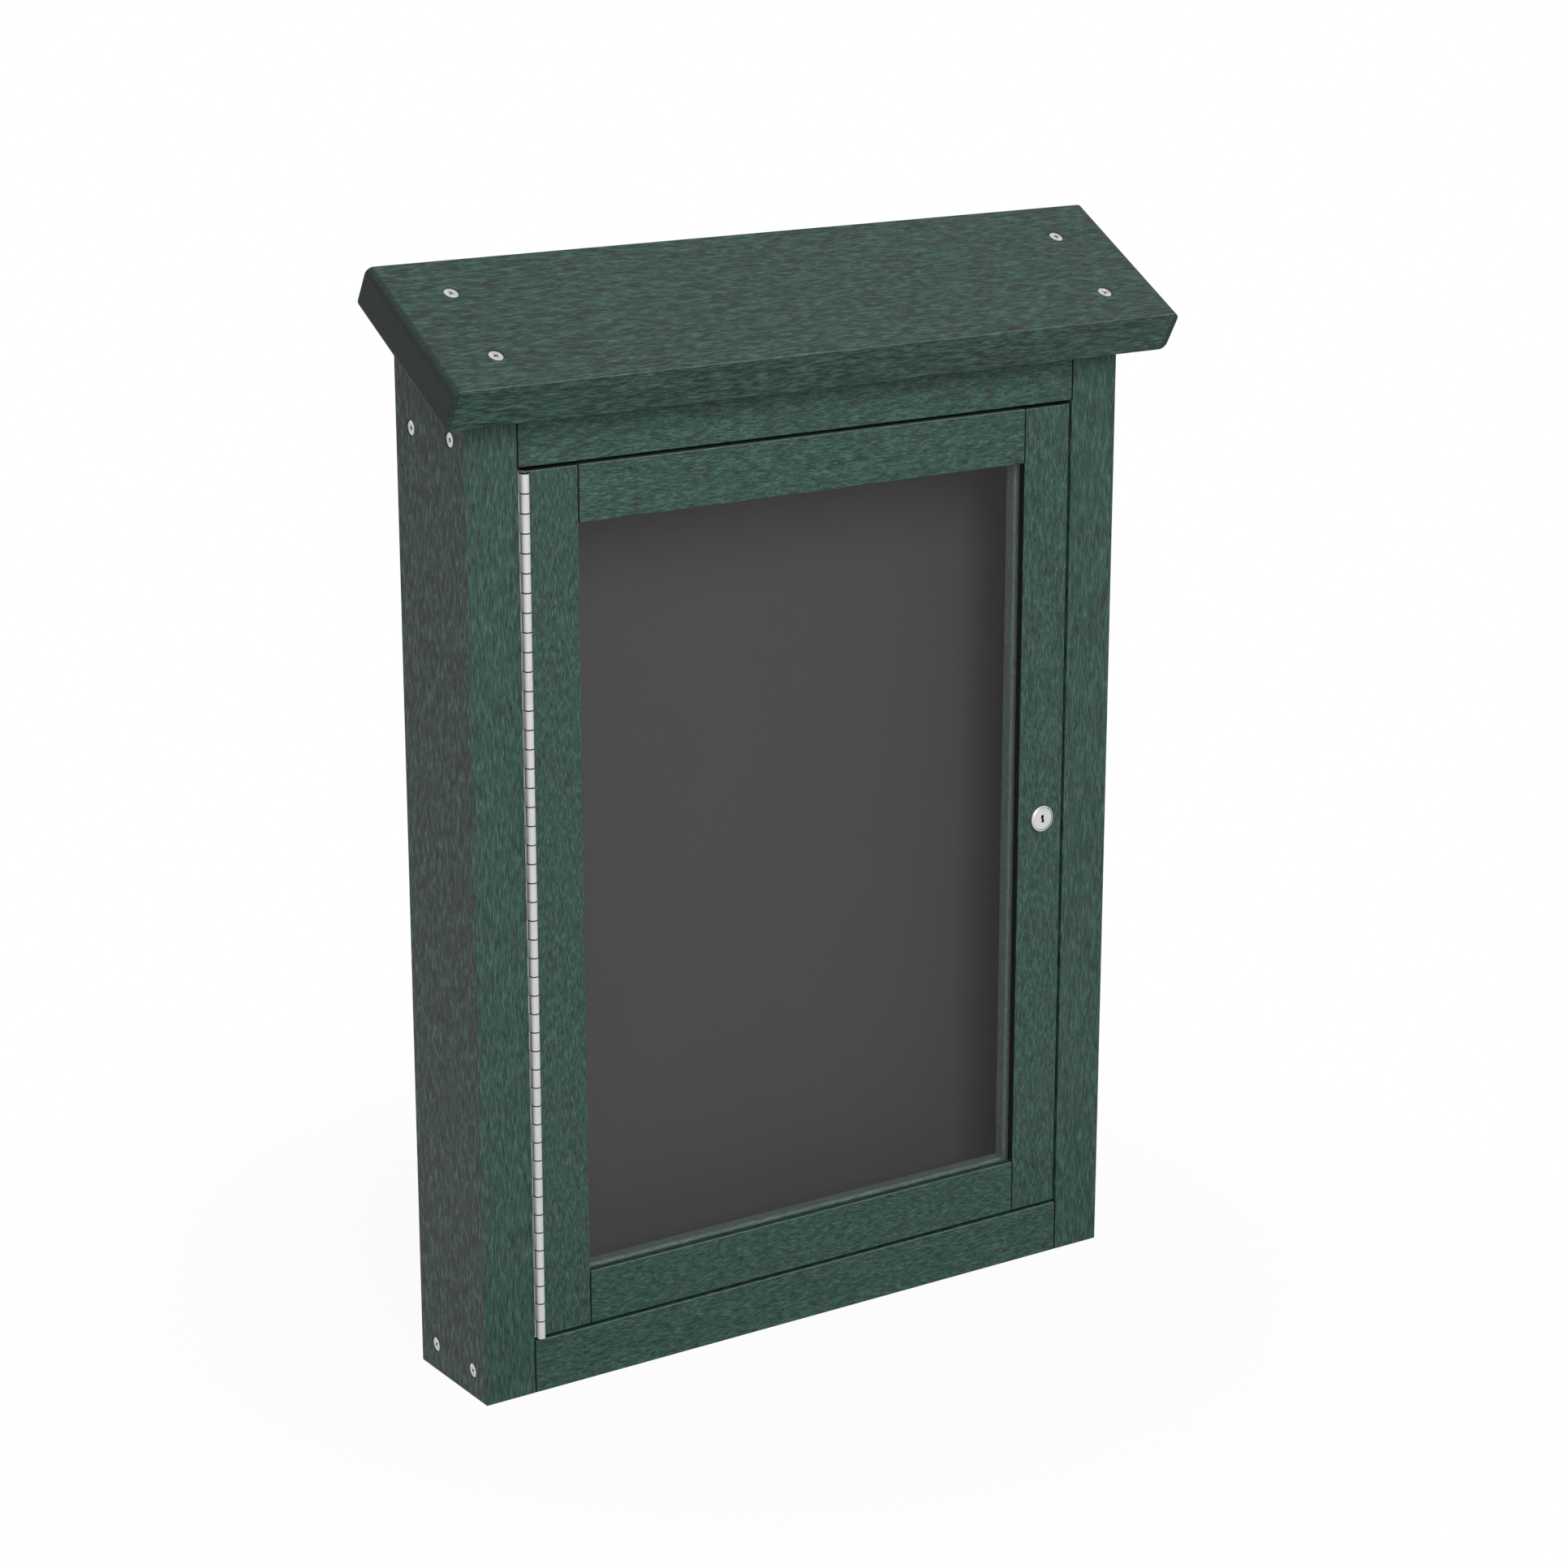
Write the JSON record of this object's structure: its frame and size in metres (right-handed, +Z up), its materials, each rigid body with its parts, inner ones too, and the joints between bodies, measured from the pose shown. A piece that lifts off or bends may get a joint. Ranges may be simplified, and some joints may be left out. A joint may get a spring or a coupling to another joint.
{
  "type": "wall message board",
  "caption": "Wall message board of green plastic lumber with a slanted roof, a side-hinged glazed door on a continuous hinge, a cam lock and a bare display board.",
  "frame": {"origin": "middle of the wall face, on the back of the back panel", "axes": "+Z up, +Y into the wall, +X to the right seen from the front; the front looks along -Y"},
  "size_m": [0.5736, 0.1267, 0.7617],
  "materials": {
    "lumber": "matte, streaked dark green recycled plastic",
    "panel": "matte dark grey sheet",
    "display": "dull dark grey display board",
    "pane": "clear sheet",
    "screw_steel": "bright screws",
    "hinge_steel": "satin rolled steel",
    "lock_steel": "satin plated"
  },
  "bodies": {
    "case": {"left_side_board": "lumber", "right_side_board": "lumber", "top_board": "lumber", "bottom_board": "lumber", "roof_board": "lumber", "back_panel": "panel", "display_board": "display", "roof_screw_1": "screw_steel", "roof_screw_2": "screw_steel", "roof_screw_3": "screw_steel", "roof_screw_4": "screw_steel", "left_side_screw_1": "screw_steel", "left_side_screw_2": "screw_steel", "left_side_screw_3": "screw_steel", "left_side_screw_4": "screw_steel", "right_side_screw_1": "screw_steel", "right_side_screw_2": "screw_steel", "right_side_screw_3": "screw_steel", "right_side_screw_4": "screw_steel", "hinge_frame_leaf": "hinge_steel", "hinge_pin": "hinge_steel", "hinge_frame_screw_1": "screw_steel", "hinge_frame_screw_2": "screw_steel", "hinge_frame_screw_3": "screw_steel", "hinge_frame_screw_4": "screw_steel", "hinge_frame_screw_5": "screw_steel", "lock_strike": "lock_steel", "lock_strike_screw_1": "screw_steel", "lock_strike_screw_2": "screw_steel", "back_panel_screw_1": "screw_steel", "back_panel_screw_2": "screw_steel", "back_panel_screw_3": "screw_steel", "back_panel_screw_4": "screw_steel"},
    "door": {"door_left_stile": "lumber", "door_right_stile": "lumber", "door_top_rail": "lumber", "door_bottom_rail": "lumber", "window_pane": "pane", "glazing_strip_left": "lumber", "glazing_strip_right": "lumber", "glazing_strip_top": "lumber", "glazing_strip_bottom": "lumber", "hinge_door_leaf": "hinge_steel", "hinge_door_screw_1": "screw_steel", "hinge_door_screw_2": "screw_steel", "hinge_door_screw_3": "screw_steel", "hinge_door_screw_4": "screw_steel", "hinge_door_screw_5": "screw_steel", "door_corner_screw_1": "screw_steel", "door_corner_screw_2": "screw_steel", "door_corner_screw_3": "screw_steel", "door_corner_screw_4": "screw_steel", "lock_housing": "lock_steel", "lock_nut": "lock_steel"},
    "lock": {"lock_plug": "lock_steel", "lock_cam": "lock_steel", "lock_cam_screw": "screw_steel"}
  },
  "joints": [
    {"name": "door_hinge", "type": "hinge", "parent": "case", "child": "door", "pos_m": [-0.21935, -0.0933, 0], "axis": [0, 0, -1], "range_deg": [0, 180]},
    {"name": "lock_turn", "type": "hinge", "parent": "door", "child": "lock", "pos_m": [0.201, -0.09, 0], "axis": [0, -1, 0], "range_deg": [0, 90]}
  ]
}
